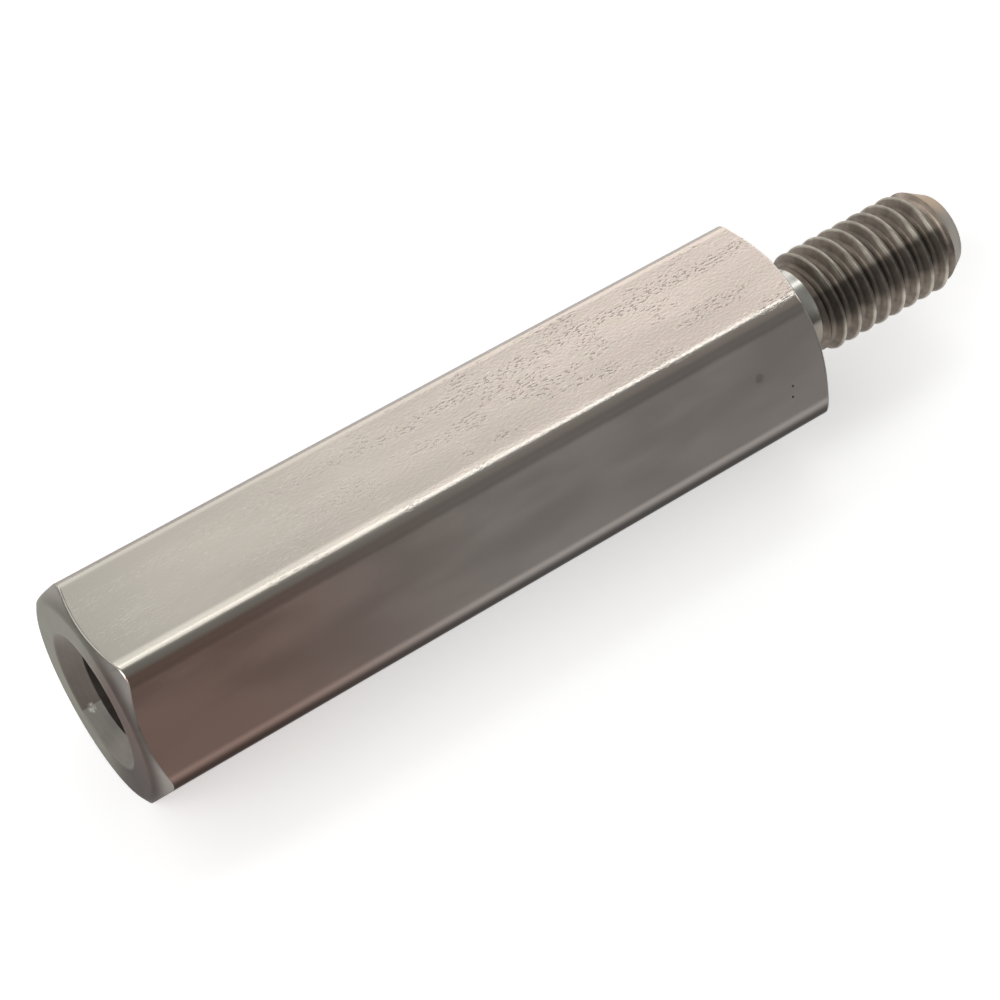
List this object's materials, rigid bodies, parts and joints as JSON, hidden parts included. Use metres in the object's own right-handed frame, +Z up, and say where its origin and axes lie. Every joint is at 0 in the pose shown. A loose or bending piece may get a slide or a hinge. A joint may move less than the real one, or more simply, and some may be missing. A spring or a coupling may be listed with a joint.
{
  "type": "hex standoff",
  "caption": "Hexagonal standoff with chamfered ends, a threaded stud on its shoulder and a countersunk blind tapped hole in the opposite end, for spacing boards and panels apart.",
  "frame": {"origin": "on the axis, at the mouth of the tapped hole in the end face", "axes": "+X along the axis towards the stud's tip, +Z up, square to the flat that the bar lies on"},
  "size_m": [0.026, 0.0062, 0.0054],
  "materials": {
    "steel": "drawn bar with fine lengthwise streaks and small pits, turned ends and threads"
  },
  "bodies": {
    "root": {"standoff": "steel"}
  },
  "joints": []
}
